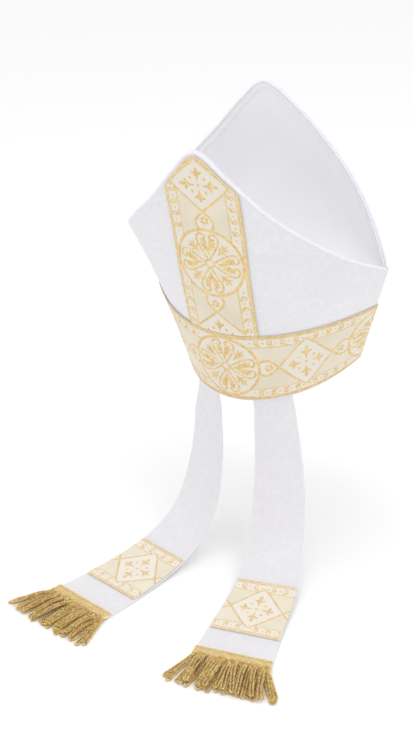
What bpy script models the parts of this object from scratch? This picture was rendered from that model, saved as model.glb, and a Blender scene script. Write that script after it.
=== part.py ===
"""A bishop's mitre: two stiff horns of white damask, ribbon orphreys and two fringed lappets.

The origin is the middle of the rim, where the hat sits on the head. The front faces -Y, +X is
the wearer's left and +Z is up. The crown leans back as it is worn, and the lappets fall from
the back of the rim and come to lie on a level surface behind it.
"""

import functools
import math
from typing import NamedTuple

import bmesh
import bpy
import numpy as np

# Gap kept between neighbouring pieces, in metres like every length here
CLEARANCE = 0.0005

# Crown: its outer face, with heights measured from the rim along the crown's own axis
RIM_HALF_WIDTH = 0.0957
RIM_HALF_DEPTH = 0.0982
NOTCH_HALF_WIDTH = 0.1462
NOTCH_HEIGHT = 0.1313
CROWN_HEIGHT = 0.274
CROWN_LEAN = math.radians(17.0)
SEAM_SETBACK = 0.0127
BEND_REACH = 0.030

# Depth of each horn from the side seams, and half the turn that its section makes, in degrees
BACK_NOTCH_DEPTH = 0.0773
BACK_TIP_DEPTH = 0.0523
BACK_NOTCH_TURN = 29.0
BACK_TIP_TURN = 44.0
BACK_SWELL = -0.0022
FRONT_NOTCH_DEPTH = 0.0764
FRONT_TIP_DEPTH = 0.0856
FRONT_NOTCH_TURN = 20.0
FRONT_TIP_TURN = 44.5
FRONT_SWELL = 0.0024
RIM_TURN = 75.0

# Cloth thicknesses
WALL = 0.0020
LINING = 0.0010
RIBBON = 0.0010
LAPPET = 0.0016
PIPING_RADIUS = 0.0014

# Ribbon: the circlet lies a little above the rim, and each orphrey stops short of the piping
RIBBON_WIDTH = 0.0783
RIM_MARGIN = 0.0025
ORPHREY_INSET = 0.0042

# Lining: how far its fold sags below the notches in the middle
LINING_SAG = 0.028
LINING_HUG = 4

# Lappet: its middle leaves the rim at LAPPET_OFFSET round from the middle of the back
LAPPET_OFFSET = 0.0428
LAPPET_TUCK = 0.012
LAPPET_TOP_WIDTH = 0.0407
LAPPET_END_WIDTH = 0.0779
LAPPET_DROP = 0.191
LAPPET_REACH = 0.164
LAPPET_SPREAD = 0.0486
LAPPET_TOP_YAW = 22.25
LAPPET_END_YAW = 11.2
LAPPET_FLATTENS_BY = 0.045

# Patch of ribbon on the lappet, and the fringe sewn over the lappet's end
PATCH_ABOVE_FRINGE = 0.0345
PATCH_SIDE_MARGIN = 0.0010
FRINGE_OVERLAP = 0.005
FRINGE_HEAD_LENGTH = 0.009
FRINGE_HEAD_THICKNESS = 0.0024
FRINGE_LENGTH = 0.052
FRINGE_SPLAY = 0.10
LOCK_THICKNESS = 0.0034
LOCKS = 16
LOCK_ROWS = 4

# Columns of the crown's meshes, as shares of the half girth from the middle to the seam
COLUMN_SHARES = (0, 0.03, 0.07, 0.12, 0.18, 0.25, 0.32, 0.4, 0.48, 0.56, 0.64, 0.72, 0.8, 0.87, 0.94, 1)
LINING_SHARES = (0, 0.03, 0.08, 0.14, 0.22, 0.31, 0.41, 0.51, 0.61, 0.71, 0.80, 0.88, 0.94, 0.98)
BAND_ROWS = 6
HORN_ROWS = 9
LINING_ROWS = 11
ORPHREY_COLUMNS = 9
ORPHREY_ROWS = 11
LAPPET_COLUMNS = 5
LAPPET_ROWS = 30
PATCH_ROWS = 8
SECTION_STEPS = 65


class Half(NamedTuple):
    """One half of the crown. side is +1 behind the seams and -1 in front of them."""

    side: int
    notch_depth: float
    tip_depth: float
    notch_turn: float
    tip_turn: float
    swell: float
    edge_column: int


class EdgeRow(NamedTuple):
    """A horn's edge: at a share of the half girth, its rise as a share of notch to tip."""

    share: float
    back_rise: float
    front_rise: float


class FallRow(NamedTuple):
    """A lappet's fall: its way out, back and down, as shares of its spread, reach and drop."""

    out: float
    back: float
    down: float


BACK = Half(1, BACK_NOTCH_DEPTH, BACK_TIP_DEPTH, BACK_NOTCH_TURN, BACK_TIP_TURN, BACK_SWELL, 1)
FRONT = Half(-1, FRONT_NOTCH_DEPTH, FRONT_TIP_DEPTH, FRONT_NOTCH_TURN, FRONT_TIP_TURN, FRONT_SWELL, 2)

EDGE = (
    EdgeRow(0.00, 1.000, 1.000),
    EdgeRow(0.03, 0.985, 0.985),
    EdgeRow(0.14, 0.843, 0.850),
    EdgeRow(0.32, 0.604, 0.612),
    EdgeRow(0.56, 0.364, 0.364),
    EdgeRow(0.80, 0.151, 0.151),
    EdgeRow(1.00, 0.000, 0.000),
)

LAPPET_FALL = (
    FallRow(0.000, 0.000, 0.000),
    FallRow(0.045, -0.040, 0.282),
    FallRow(0.126, -0.021, 0.565),
    FallRow(0.265, 0.105, 0.829),
    FallRow(0.535, 0.371, 0.968),
    FallRow(0.757, 0.685, 0.997),
    FallRow(1.000, 1.000, 1.000),
)


def clear_scene():
    for thing in list(bpy.data.objects):
        bpy.data.objects.remove(thing)


def cloth(name, colour, roughness, metallic=0.0, sheen=0.0):
    material = bpy.data.materials.new(name)
    material.use_nodes = True
    shader = material.node_tree.nodes["Principled BSDF"]
    shader.inputs["Base Color"].default_value = (*colour, 1)
    shader.inputs["Roughness"].default_value = roughness
    shader.inputs["Metallic"].default_value = metallic
    shader.inputs["Sheen Weight"].default_value = sheen
    return material


def mirrored(shares):
    """The shares from -last to +last, with the middle once."""
    return [-share for share in reversed(shares[1:])] + list(shares)


def smoothstep(share):
    share = min(max(share, 0.0), 1.0)
    return share * share * (3 - 2 * share)


def monotone_through(xs, ys, x):
    """A cubic through the points that never overshoots them and is level at the first."""
    gaps = np.diff(xs)
    grades = np.diff(ys) / gaps
    slopes = np.zeros(len(xs))
    slopes[-1] = grades[-1]
    for i in range(1, len(xs) - 1):
        near = 2 * gaps[i] + gaps[i - 1]
        far = gaps[i] + 2 * gaps[i - 1]
        slopes[i] = (near + far) / (near / grades[i - 1] + far / grades[i])
    i = min(max(int(np.searchsorted(xs, x)) - 1, 0), len(gaps) - 1)
    t = (x - xs[i]) / gaps[i]
    rise = ys[i] * (1 + 2 * t) * (1 - t) ** 2 + ys[i + 1] * t * t * (3 - 2 * t)
    return rise + gaps[i] * t * (1 - t) * (slopes[i] * (1 - t) - slopes[i + 1] * t)


def natural_spline(points, steps):
    """Points on the natural cubic spline through the given ones."""
    points = np.array(points)
    system = np.eye(len(points))
    pull = np.zeros_like(points)
    for i in range(1, len(points) - 1):
        system[i, i - 1 : i + 2] = (1, 4, 1)
        pull[i] = 6 * (points[i + 1] - 2 * points[i] + points[i - 1])
    bends = np.linalg.solve(system, pull)
    curve = []
    for place in np.linspace(0, len(points) - 1, steps):
        i = min(int(place), len(points) - 2)
        t = place - i
        s = 1 - t
        level = s * points[i] + t * points[i + 1]
        curve.append(level + (s**3 - s) * bends[i] / 6 + (t**3 - t) * bends[i + 1] / 6)
    return np.array(curve)


def bent(z, at_rim, at_notch, at_tip):
    """A value that runs straight to the notch's height and on to the tip, its bend rounded."""
    lower = (at_notch - at_rim) / NOTCH_HEIGHT
    upper = (at_tip - at_notch) / (CROWN_HEIGHT - NOTCH_HEIGHT)
    above = z - NOTCH_HEIGHT
    value = at_notch + above * (upper if above > 0 else lower)
    if abs(above) < BEND_REACH:
        value += (upper - lower) * (BEND_REACH - abs(above)) ** 2 / (4 * BEND_REACH)
    return value


@functools.lru_cache(maxsize=None)
def half_section(half, z, out):
    """The half's section at height z, moved outward: x, depth from the seams, way along."""
    level = max(z, 0.0)
    turn = math.radians(bent(level, RIM_TURN, half.notch_turn, half.tip_turn))
    depth = bent(level, RIM_HALF_DEPTH, half.notch_depth, half.tip_depth)
    width = RIM_HALF_WIDTH + (NOTCH_HALF_WIDTH - RIM_HALF_WIDTH) * level / NOTCH_HEIGHT
    corner = math.hypot(1, width * math.cos(turn) / (depth * (1 + math.cos(turn))))
    width += out * corner
    depth += out
    angles = np.linspace(-turn, turn, SECTION_STEPS)
    x = width * np.sin(angles) / math.sin(turn)
    y = depth * (np.cos(angles) - math.cos(turn)) / (1 - math.cos(turn))
    rise = (level - NOTCH_HEIGHT) / (CROWN_HEIGHT - NOTCH_HEIGHT)
    if rise > 0:
        y += half.swell * math.sin(math.pi * rise) ** 2 * (1 - (x / width) ** 2)
    along = np.concatenate([[0], np.cumsum(np.hypot(np.diff(x), np.diff(y)))])
    return x, y, along - along[-1] / 2


def half_girth(half, z):
    return half_section(half, z, 0.0)[2][-1]


def seam_y(z):
    return SEAM_SETBACK * max(z, 0.0) / NOTCH_HEIGHT


def crown_point(half, share, z, out=0.0):
    """The point at a share of the half girth, -1 to 1, at height z, moved outward."""
    x, y, along = half_section(half, z, out)
    where = share * along[-1]
    depth = half.side * np.interp(where, along, y)
    return np.array((np.interp(where, along, x), depth + seam_y(z), z))


def outline_height(half, share):
    """Height of the horn's finished edge, piping and all."""
    shares = [row.share for row in EDGE]
    rises = [row[half.edge_column] for row in EDGE]
    rise = monotone_through(shares, rises, abs(share))
    return NOTCH_HEIGHT + (CROWN_HEIGHT - NOTCH_HEIGHT) * rise


def inside_height(half, share, inset):
    """Height of a line that keeps a set distance inside the horn's finished edge."""
    step = 0.01
    low, high = max(share - step, -1), min(share + step, 1)
    start = crown_point(half, low, outline_height(half, low))
    end = crown_point(half, high, outline_height(half, high))
    run = math.hypot(end[0] - start[0], end[1] - start[1])
    return outline_height(half, share) - inset * math.hypot(1, (end[2] - start[2]) / run)


def panel_height(half, share):
    return inside_height(half, share, 2 * PIPING_RADIUS + CLEARANCE)


def lean(point):
    """From the crown's own frame to the upright one."""
    x, y, z = point
    cosine, sine = math.cos(CROWN_LEAN), math.sin(CROWN_LEAN)
    return np.array((x, y * cosine + z * sine, z * cosine - y * sine))


def add_mesh(name, points, faces, material, parent=None):
    mesh = bpy.data.meshes.new(name)
    mesh.from_pydata([tuple(point) for point in points], [], faces)
    shape = bmesh.new()
    shape.from_mesh(mesh)
    bmesh.ops.recalc_face_normals(shape, faces=shape.faces)
    shape.to_mesh(mesh)
    shape.free()
    mesh.shade_smooth()
    mesh.set_sharp_from_angle(angle=math.radians(40))
    mesh.materials.append(material)
    thing = bpy.data.objects.new(name, mesh)
    thing.parent = parent
    bpy.context.collection.objects.link(thing)
    return thing


def shell_faces(rows, columns, ring):
    """Faces of two like grids and the walls between their borders."""

    def at(layer, row, column):
        return (layer * rows + row) * columns + column % columns

    faces = []
    spans = columns if ring else columns - 1
    for row in range(rows - 1):
        for column in range(spans):
            corners = ((row, column), (row, column + 1), (row + 1, column + 1), (row + 1, column))
            faces.append([at(0, *corner) for corner in corners])
            faces.append([at(1, *corner) for corner in reversed(corners)])
    for row in (0, rows - 1):
        for column in range(spans):
            here, there = (row, column), (row, column + 1)
            faces.append([at(0, *here), at(0, *there), at(1, *there), at(1, *here)])
    if not ring:
        for column in (0, columns - 1):
            for row in range(rows - 1):
                here, there = (row, column), (row + 1, column)
                faces.append([at(0, *here), at(0, *there), at(1, *there), at(1, *here)])
    return faces


def shell(name, outer, inner, material, parent=None, ring=False):
    """A sheet with thickness, from a grid of points on each face."""
    outer, inner = np.array(outer), np.array(inner)
    rows, columns = outer.shape[:2]
    points = np.concatenate([outer.reshape(-1, 3), inner.reshape(-1, 3)])
    return add_mesh(name, points, shell_faces(rows, columns, ring), material, parent)


def band_levels():
    return np.linspace(RIM_MARGIN, RIM_MARGIN + RIBBON_WIDTH, BAND_ROWS)


def horn_panel(name, half, material, crown):
    """Half of the crown, from the rim up to the point of its horn."""
    shares = np.array(mirrored(COLUMN_SHARES)) * (1 - CLEARANCE / half_girth(half, 0.0))
    tops = [panel_height(half, share) for share in shares]
    base = RIM_MARGIN + RIBBON_WIDTH
    rises = np.linspace(0, 1, HORN_ROWS)[1:]

    def row_between(rise, out):
        heights = [base + (top - base) * rise for top in tops]
        return [crown_point(half, share, z, out) for share, z in zip(shares, heights)]

    def face(out):
        lower = [[crown_point(half, share, z, out) for share in shares] for z in (0.0, *band_levels())]
        return lower + [row_between(rise, out) for rise in rises]

    return shell(name, face(0.0), face(-WALL), material, crown)


def fold_height(share):
    """Height of the fold between the horns, lowest in the middle."""
    ends = min(panel_height(BACK, 1), panel_height(FRONT, 1)) - LINING
    return ends - LINING_SAG * (1 - share * share)


def lining_point(half, share, way, out, lift):
    """A point of the lining, on its way from the horn's edge, 0, down to the fold, 1."""
    top = panel_height(half, share)
    fold = fold_height(share)
    z = top + (fold - top) * way
    point = crown_point(half, share, z, out)
    crossing = way**LINING_HUG
    point[1] += crossing * (seam_y(z) - point[1])
    point[2] += crossing * lift
    return point


def crown_lining(name, material, crown):
    """Satin down the inside of one horn, through the fold and up the other."""
    ways = np.linspace(0, 1, LINING_ROWS)

    def face(out, lift):
        back = [[lining_point(BACK, s, way, out, lift) for s in mirrored(LINING_SHARES)] for way in ways]
        front = [[lining_point(FRONT, s, way, out, lift) for s in mirrored(LINING_SHARES)] for way in ways]
        return back + front[-2::-1]

    outer = -(WALL + CLEARANCE)
    return shell(name, face(outer, 0.0), face(outer - LINING, 1.2 * LINING), material, crown)


def circlet_band(name, material, crown):
    """The ribbon round the head, one closed ring over both panels."""
    back = mirrored(COLUMN_SHARES)
    front = back[-2:0:-1]

    def ring_at(z, out):
        row = [crown_point(BACK, share, z, out) for share in back]
        return row + [crown_point(FRONT, share, z, out) for share in front]

    outer = [ring_at(z, CLEARANCE + RIBBON) for z in band_levels()]
    inner = [ring_at(z, CLEARANCE) for z in band_levels()]
    return shell(name, outer, inner, material, crown, ring=True)


def orphrey_top(half, offset):
    """Height where the ribbon, at a distance from its middle, meets the cut along the horn."""
    low, high = NOTCH_HEIGHT, CROWN_HEIGHT
    for _ in range(24):
        z = (low + high) / 2
        if z < inside_height(half, offset / half_girth(half, z), ORPHREY_INSET):
            low = z
        else:
            high = z
    return low


def orphrey(name, half, material, crown):
    """The upright ribbon, cut along the horn's two edges at its top."""
    bottom = RIM_MARGIN + RIBBON_WIDTH + CLEARANCE
    offsets = np.linspace(-RIBBON_WIDTH / 2, RIBBON_WIDTH / 2, ORPHREY_COLUMNS)
    tops = [orphrey_top(half, offset) for offset in offsets]

    def place(offset, top, level, out):
        z = bottom + (top - bottom) * level
        return crown_point(half, offset / half_girth(half, z), z, out)

    def face(out):
        levels = np.linspace(0, 1, ORPHREY_ROWS)
        return [[place(*pair, level, out) for pair in zip(offsets, tops)] for level in levels]

    return shell(name, face(CLEARANCE + RIBBON), face(CLEARANCE), material, crown)


def edge_piping(name, half, material, crown):
    """A round cord along the horn's edge, from notch to notch."""
    end = 1 - 1.5 * PIPING_RADIUS / half_girth(half, NOTCH_HEIGHT)
    line = bpy.data.curves.new(name, "CURVE")
    line.dimensions = "3D"
    line.bevel_depth = PIPING_RADIUS
    line.bevel_resolution = 1
    line.use_fill_caps = True
    spline = line.splines.new("POLY")
    shares = [share * end for share in mirrored(COLUMN_SHARES)]
    spline.points.add(len(shares) - 1)
    for point, share in zip(spline.points, shares):
        z = inside_height(half, share, PIPING_RADIUS)
        point.co = (*crown_point(half, share, z, -WALL / 2), 1)
    line.materials.append(material)
    thing = bpy.data.objects.new(name, line)
    thing.parent = crown
    bpy.context.collection.objects.link(thing)
    return thing


def rim_face(along, offset):
    """The crown's inner face near the rim, where the left lappet is sewn, and on below it."""
    z = -along
    share = (LAPPET_OFFSET + offset) / half_girth(BACK, z)
    return lean(crown_point(BACK, share, z, -(WALL + CLEARANCE)))


@functools.lru_cache(maxsize=None)
def lappet_line():
    """The middle of the left lappet's outer face below the rim, and the way along it."""
    start = rim_face(0.0, 0.0)
    reach = np.array((LAPPET_SPREAD, LAPPET_REACH, -LAPPET_DROP))
    line = natural_spline([start + reach * np.array(row) for row in LAPPET_FALL], 161)
    along = np.concatenate([[0], np.cumsum(np.linalg.norm(np.diff(line, axis=0), axis=1))])
    return line, along


def lappet_length():
    return lappet_line()[1][-1]


def lappet_width(along):
    share = min(max(along / lappet_length(), 0.0), 1.0)
    return LAPPET_TOP_WIDTH + (LAPPET_END_WIDTH - LAPPET_TOP_WIDTH) * share


def lappet_face(along, across):
    """The left lappet's outer face: along it from the rim, and -1 to 1 across it."""
    line, ways = lappet_line()
    offset = across * lappet_width(along) / 2
    sewn = rim_face(along, offset)
    if along <= 0:
        return sewn
    share = min(along / ways[-1], 1.0)
    yaw = math.radians(LAPPET_TOP_YAW + (LAPPET_END_YAW - LAPPET_TOP_YAW) * smoothstep(share))
    free = np.array([np.interp(along, ways, line[:, axis]) for axis in range(3)])
    if along > ways[-1]:
        last = line[-1] - line[-2]
        free += (along - ways[-1]) * last / np.linalg.norm(last)
    free += offset * np.array((math.cos(yaw), -math.sin(yaw), 0))
    return sewn + (free - sewn) * smoothstep(along / LAPPET_FLATTENS_BY)


def lappet_point(along, across, lift):
    """A point off the left lappet's outer face, by lift along its normal."""
    step = 0.001
    down = lappet_face(along + step, across) - lappet_face(along - step, across)
    over = lappet_face(along, across + step) - lappet_face(along, across - step)
    normal = np.cross(over, down)
    return lappet_face(along, across) + lift * normal / np.linalg.norm(normal)


def other_side(points, side):
    """The points as they are for the left, side 1, and mirrored for the right, side -1."""
    return np.array(points) * (side, 1, 1)


def lappet_strip(name, side, start, end, half_span, lifts, rows, material):
    """A sheet along a lappet, between two lifts off its outer face."""
    ways = np.linspace(start, end, rows)
    acrosses = np.linspace(-half_span, half_span, LAPPET_COLUMNS)

    def face(lift):
        return other_side([[lappet_point(way, across, lift) for across in acrosses] for way in ways], side)

    top, under = lifts
    return shell(name, face(top), face(under), material)


def lappet(name, side, material):
    end = lappet_length() + FRINGE_OVERLAP
    return lappet_strip(name, side, -LAPPET_TUCK, end, 1.0, (0.0, -LAPPET), LAPPET_ROWS, material)


def lappet_patch(name, side, material):
    end = lappet_length() - PATCH_ABOVE_FRINGE
    half_span = 1 - 2 * PATCH_SIDE_MARGIN / lappet_width(end)
    lifts = (CLEARANCE + RIBBON, CLEARANCE)
    return lappet_strip(name, side, end - RIBBON_WIDTH, end, half_span, lifts, PATCH_ROWS, material)


def lock_points(index, way):
    """One lock's section, way from the head, 0, to its tip, 1: its top and under rows."""
    width = 2.0 / LOCKS
    middle = -1 + (index + 0.5) * width
    reach = (FRINGE_LENGTH - FRINGE_HEAD_LENGTH) * (0.94 + 0.06 * math.sin(2.4 * index))
    along = lappet_length() + FRINGE_HEAD_LENGTH + way * reach
    middle = middle * (1 + FRINGE_SPLAY * way) + 0.15 * width * math.sin(1.7 * index) * way**2
    span = 0.5 * width * (0.88 - 0.30 * way)
    crown = LOCK_THICKNESS * (1 - 0.35 * way)
    lifts = (0.55 * crown, crown, 0.55 * crown)
    acrosses = (middle - span, middle, middle + span)
    top = [lappet_point(along, across, lift - LAPPET) for across, lift in zip(acrosses, lifts)]
    under = [lappet_point(along, across, -LAPPET) for across in acrosses]
    return top + under


def fringe(name, side, material):
    """A braid head over the lappet's end, and locks that run on from it, as one solid."""
    columns = 2 * LOCKS + 1
    start = lappet_length()
    acrosses = np.linspace(-1, 1, columns)
    points = []
    for along in (start, start + FRINGE_HEAD_LENGTH):
        for lift in (CLEARANCE + FRINGE_HEAD_THICKNESS, CLEARANCE):
            points += [lappet_point(along, across, lift) for across in acrosses]
    faces = []
    for c in range(columns - 1):
        corners = [row * columns + c for row in range(4)]
        top, under, low_top, low_under = corners
        faces.append([top, top + 1, low_top + 1, low_top])
        faces.append([under, low_under, low_under + 1, under + 1])
        faces.append([top, under, under + 1, top + 1])
    for c in (0, columns - 1):
        faces.append([c, c + 2 * columns, c + 3 * columns, c + columns])
    for index in range(LOCKS):
        first = 2 * columns + 2 * index
        above = [first + layer * columns + step for layer in (0, 1) for step in (0, 1, 2)]
        for row in range(1, LOCK_ROWS + 1):
            below = list(range(len(points), len(points) + 6))
            points += lock_points(index, row / LOCK_ROWS)
            for a, b in ((0, 1), (1, 2), (2, 5), (5, 4), (4, 3), (3, 0)):
                faces.append([above[a], above[b], below[b], below[a]])
            above = below
        faces.append([above[0], above[1], above[4], above[3]])
        faces.append([above[1], above[2], above[5], above[4]])
    return add_mesh(name, other_side(points, side), faces, material)


def main():
    clear_scene()
    damask = cloth("white_damask", (0.84, 0.83, 0.87), 0.55, sheen=0.2)
    satin = cloth("white_satin", (0.78, 0.77, 0.82), 0.38, sheen=0.1)
    cord = cloth("white_piping", (0.90, 0.90, 0.93), 0.45)
    ribbon = cloth("gold_and_cream_ribbon", (0.78, 0.66, 0.42), 0.45, metallic=0.1)
    bullion = cloth("gold_bullion", (0.56, 0.36, 0.11), 0.35, metallic=0.6)

    crown = bpy.data.objects.new("crown", None)
    crown.rotation_euler.x = -CROWN_LEAN
    bpy.context.collection.objects.link(crown)

    horn_panel("back_panel", BACK, damask, crown)
    horn_panel("front_panel", FRONT, damask, crown)
    crown_lining("crown_lining", satin, crown)
    circlet_band("circlet_band", ribbon, crown)
    orphrey("back_orphrey", BACK, ribbon, crown)
    orphrey("front_orphrey", FRONT, ribbon, crown)
    edge_piping("back_piping", BACK, cord, crown)
    edge_piping("front_piping", FRONT, cord, crown)
    for hand, side in (("left", 1), ("right", -1)):
        lappet(hand + "_lappet", side, damask)
        lappet_patch(hand + "_patch", side, ribbon)
        fringe(hand + "_fringe", side, bullion)


main()
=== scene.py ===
"""The looks of a white bishop's mitre with cream and gold ribbon, lappets and bullion fringe."""

import functools
import math
import random
from typing import NamedTuple

import bmesh
import bpy
import numpy as np
from mathutils import Matrix, Vector


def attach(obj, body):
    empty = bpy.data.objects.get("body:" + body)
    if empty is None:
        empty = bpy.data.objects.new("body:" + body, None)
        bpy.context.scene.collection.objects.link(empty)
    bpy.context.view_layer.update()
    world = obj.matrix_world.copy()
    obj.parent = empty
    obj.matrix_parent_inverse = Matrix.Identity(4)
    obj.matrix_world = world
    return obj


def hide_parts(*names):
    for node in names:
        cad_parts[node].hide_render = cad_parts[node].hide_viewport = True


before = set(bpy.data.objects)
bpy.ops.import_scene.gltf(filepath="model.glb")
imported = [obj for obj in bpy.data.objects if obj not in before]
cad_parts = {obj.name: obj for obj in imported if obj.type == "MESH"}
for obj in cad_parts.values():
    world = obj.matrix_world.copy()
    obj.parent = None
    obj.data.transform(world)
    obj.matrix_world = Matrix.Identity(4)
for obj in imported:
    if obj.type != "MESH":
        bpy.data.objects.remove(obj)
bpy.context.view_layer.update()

# Sizes of the frame's pieces, in metres
CLEARANCE = 0.0005
RIM_HALF_WIDTH = 0.0957
RIM_HALF_DEPTH = 0.0982
NOTCH_HALF_WIDTH = 0.1462
NOTCH_HEIGHT = 0.1313
CROWN_HEIGHT = 0.274
CROWN_LEAN = math.radians(17.0)
SEAM_SETBACK = 0.0127
BEND_REACH = 0.030
RIM_TURN = 75.0
WALL = 0.0020
LINING = 0.0010
RIBBON = 0.0010
LAPPET = 0.0016
PIPING_RADIUS = 0.0014
RIBBON_WIDTH = 0.0783
RIM_MARGIN = 0.0025
ORPHREY_INSET = 0.0042
LINING_SAG = 0.028
LINING_HUG = 4
LAPPET_OFFSET = 0.0428
LAPPET_TUCK = 0.012
LAPPET_TOP_WIDTH = 0.0407
LAPPET_END_WIDTH = 0.0779
LAPPET_DROP = 0.191
LAPPET_REACH = 0.164
LAPPET_SPREAD = 0.0486
LAPPET_TOP_YAW = 22.25
LAPPET_END_YAW = 11.2
LAPPET_FLATTENS_BY = 0.045
PATCH_ABOVE_FRINGE = 0.0345
PATCH_SIDE_MARGIN = 0.0010
FRINGE_OVERLAP = 0.005
FRINGE_HEAD_LENGTH = 0.009
FRINGE_HEAD_THICKNESS = 0.0024
FRINGE_LENGTH = 0.052
SECTION_STEPS = 129

# Ribbon's design: period from medallion to medallion, and its main shapes
PERIOD = 0.1624
RING_RADIUS = 0.0348
RING_STROKE = 0.0033
DIAMOND_ALONG = 0.0278
DIAMOND_ACROSS = 0.0301
FIELD_EDGE = 0.0257
CURL_LINE = 0.0309
CURL_PITCH = PERIOD / 13
CURL_FIRST = 0.0090
DOT_FIRST = 0.0034
ORPHREY_TIP = 0.005
UPRIGHT_PHASE = DIAMOND_ALONG + PERIOD / 2
RELIEF = 0.00022
FULL_RELIEF_WIDTH = 0.0012
SINK = 0.00006
LINE_WIDTH = 0.0013

# Fine work: rolled edges, hem, stitches and the fringe's cords
FOLD_RADIUS = 0.0010
LAPPET_EDGE_RADIUS = 0.00092
LAPPET_EDGE_INSET = 0.0007
LINING_CHART_HALF = 0.2
LINING_CHART_ROW = 0.0032
HEM_INSETS = (0.0030, 0.0085)
HEM_LIFTS = (0.0001, 0.00035, 0.00042, 0.00042, 0.00040, 0.00030, -0.0002)
STITCH_INSET = 0.0072
STITCH_LENGTH = 0.0024
STITCH_GAP = 0.0010
STITCH_RADIUS = 0.00022
CORD_PLY = 0.00066
CORD_PITCH = 0.0044
CORDS_IN_LAYER = (13, 11, 9)
BRAID_THREAD_PITCH = 0.0019
BRAID_PLY = 0.00055
BRAID_PLY_PITCH = 0.0030

# Pitches of the threads that only the materials show
WEAVE_PITCH = 0.0007
SATIN_PITCH = 0.0006
TWILL_PITCH = 0.0011
RIB_PITCH = 0.0008
STITCHED_PITCH = 0.0009
WOUND_PITCH = 0.0006

# Camera, fitted to the photograph's view
CAMERA_AZIMUTH = 212.165
CAMERA_ELEVATION = 24.872
CAMERA_ROLL = -1.296
CAMERA_DISTANCE = 1.28836
CAMERA_RIGHT = -0.07537
CAMERA_UP = -0.03562
CAMERA_LENS = 58.17
SENSOR = 36.0


class Shades(NamedTuple):
    """The two ends of a colour's range, as display values from 0 to 255."""

    dark: tuple
    light: tuple


class Stray(NamedTuple):
    """A cord at a lappet's edge, -1 or 1, that leans out, and its length as a share."""

    edge: int
    lean: float
    length: float


class Half(NamedTuple):
    """One half of the crown. side is +1 behind the seams and -1 in front of them."""

    side: int
    notch_depth: float
    tip_depth: float
    notch_turn: float
    tip_turn: float
    swell: float
    edge_column: int


class EdgeRow(NamedTuple):
    """A horn's edge: at a share of the half girth, its rise as a share of notch to tip."""

    share: float
    back_rise: float
    front_rise: float


class FallRow(NamedTuple):
    """A lappet's fall: its way out, back and down, as shares of its spread, reach and drop."""

    out: float
    back: float
    down: float


BACK = Half(1, 0.0773, 0.0523, 29.0, 44.0, -0.0022, 1)
FRONT = Half(-1, 0.0764, 0.0856, 20.0, 44.5, 0.0024, 2)

EDGE = (
    EdgeRow(0.00, 1.000, 1.000),
    EdgeRow(0.03, 0.985, 0.985),
    EdgeRow(0.14, 0.843, 0.850),
    EdgeRow(0.32, 0.604, 0.612),
    EdgeRow(0.56, 0.364, 0.364),
    EdgeRow(0.80, 0.151, 0.151),
    EdgeRow(1.00, 0.000, 0.000),
)

LAPPET_FALL = (
    FallRow(0.000, 0.000, 0.000),
    FallRow(0.045, -0.040, 0.282),
    FallRow(0.126, -0.021, 0.565),
    FallRow(0.265, 0.105, 0.829),
    FallRow(0.535, 0.371, 0.968),
    FallRow(0.757, 0.685, 0.997),
    FallRow(1.000, 1.000, 1.000),
)

STRAYS = (Stray(-1, 0.46, 0.86), Stray(1, 0.46, 0.95), Stray(-1, 0.32, 0.96), Stray(1, 0.33, 0.90))

DAMASK_GROUND = Shades((223, 222, 226), (228, 227, 231))
DAMASK_FIGURE = (240, 239, 243)
SATIN = Shades((235, 234, 237), (240, 239, 242))
PIPING = Shades((228, 227, 232), (237, 236, 241))
RIBBON_FIELD = Shades((219, 210, 190), (227, 219, 201))
RIBBON_FIGURE = Shades((218, 211, 199), (236, 232, 224))
RIBBON_SPECK = (214, 190, 140)
GOLD = Shades((206, 170, 106), (247, 221, 160))
# Painted highlight: the patches' gold is drawn paler than the gold elsewhere, for the light caught by their
# upturned thread.
GOLD_PAINTED_LIGHTER = Shades((216, 184, 132), (246, 226, 182))
# Bullion's range: its dark end is painted shade between the cords, its light end painted highlight, about the
# gold's own colour.
BULLION = Shades((180, 114, 36), (255, 234, 156))
BRAID = Shades((238, 202, 132), (255, 238, 184))
GLINT = (255, 244, 200)
# Painted light: the patches' ribbon is drawn this much lighter than the rest, as more light falls on them.
PATCH_PAINTED_LIGHT = 8


# The frame's curves


def lengths_along(line):
    """The way from the first point of a line to each of its points."""
    return np.concatenate([[0], np.cumsum(np.linalg.norm(np.diff(line, axis=0), axis=1))])


def points_at(spots, ways, line):
    """The places on a line of points at some ways along it."""
    return np.stack([np.interp(spots, ways, column) for column in line.T], axis=-1)


def unit(vectors):
    return vectors / np.linalg.norm(vectors, axis=-1, keepdims=True)


def smoothstep(share):
    share = min(max(share, 0.0), 1.0)
    return share * share * (3 - 2 * share)


def monotone_through(xs, ys, x):
    """A cubic through the points that never overshoots them and is level at the first."""
    gaps = np.diff(xs)
    grades = np.diff(ys) / gaps
    slopes = np.zeros(len(xs))
    slopes[-1] = grades[-1]
    for i in range(1, len(xs) - 1):
        near = 2 * gaps[i] + gaps[i - 1]
        far = gaps[i] + 2 * gaps[i - 1]
        slopes[i] = (near + far) / (near / grades[i - 1] + far / grades[i])
    i = min(max(int(np.searchsorted(xs, x)) - 1, 0), len(gaps) - 1)
    t = (x - xs[i]) / gaps[i]
    rise = ys[i] * (1 + 2 * t) * (1 - t) ** 2 + ys[i + 1] * t * t * (3 - 2 * t)
    return rise + gaps[i] * t * (1 - t) * (slopes[i] * (1 - t) - slopes[i + 1] * t)


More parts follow.
